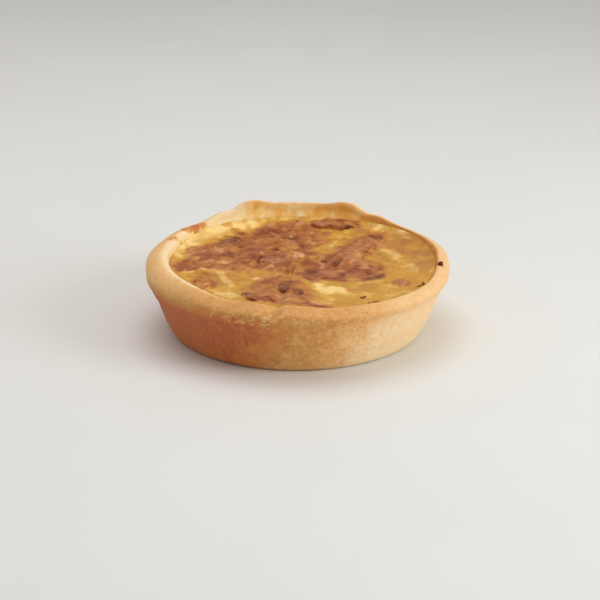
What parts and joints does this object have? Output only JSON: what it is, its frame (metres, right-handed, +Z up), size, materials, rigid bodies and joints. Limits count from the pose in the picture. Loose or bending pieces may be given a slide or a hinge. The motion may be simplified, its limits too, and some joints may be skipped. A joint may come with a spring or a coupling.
{
  "type": "quiche lorraine",
  "caption": "Small round deep-filled quiche: uneven rolled pastry rim, sloping pastry wall, toasted custard top and sunken bacon strips.",
  "frame": {"origin": "centre of the flat base, on the surface that it rests on", "axes": "+Z up, -Y towards the low front of the rim, +X to the right seen from the front"},
  "size_m": [0.112, 0.112, 0.0343],
  "materials": {
    "pastry": "matt golden baked shortcrust, browner on one side",
    "custard": "toasted skin over soft yellow custard, slightly greasy",
    "bacon": "red-brown baked bacon, slightly greasy"
  },
  "bodies": {
    "root": {"crust": "pastry", "filling": "custard", "bacon_1": "bacon", "bacon_2": "bacon", "bacon_3": "bacon", "bacon_4": "bacon", "bacon_5": "bacon", "bacon_6": "bacon", "bacon_7": "bacon", "bacon_8": "bacon", "bacon_9": "bacon"}
  },
  "joints": []
}
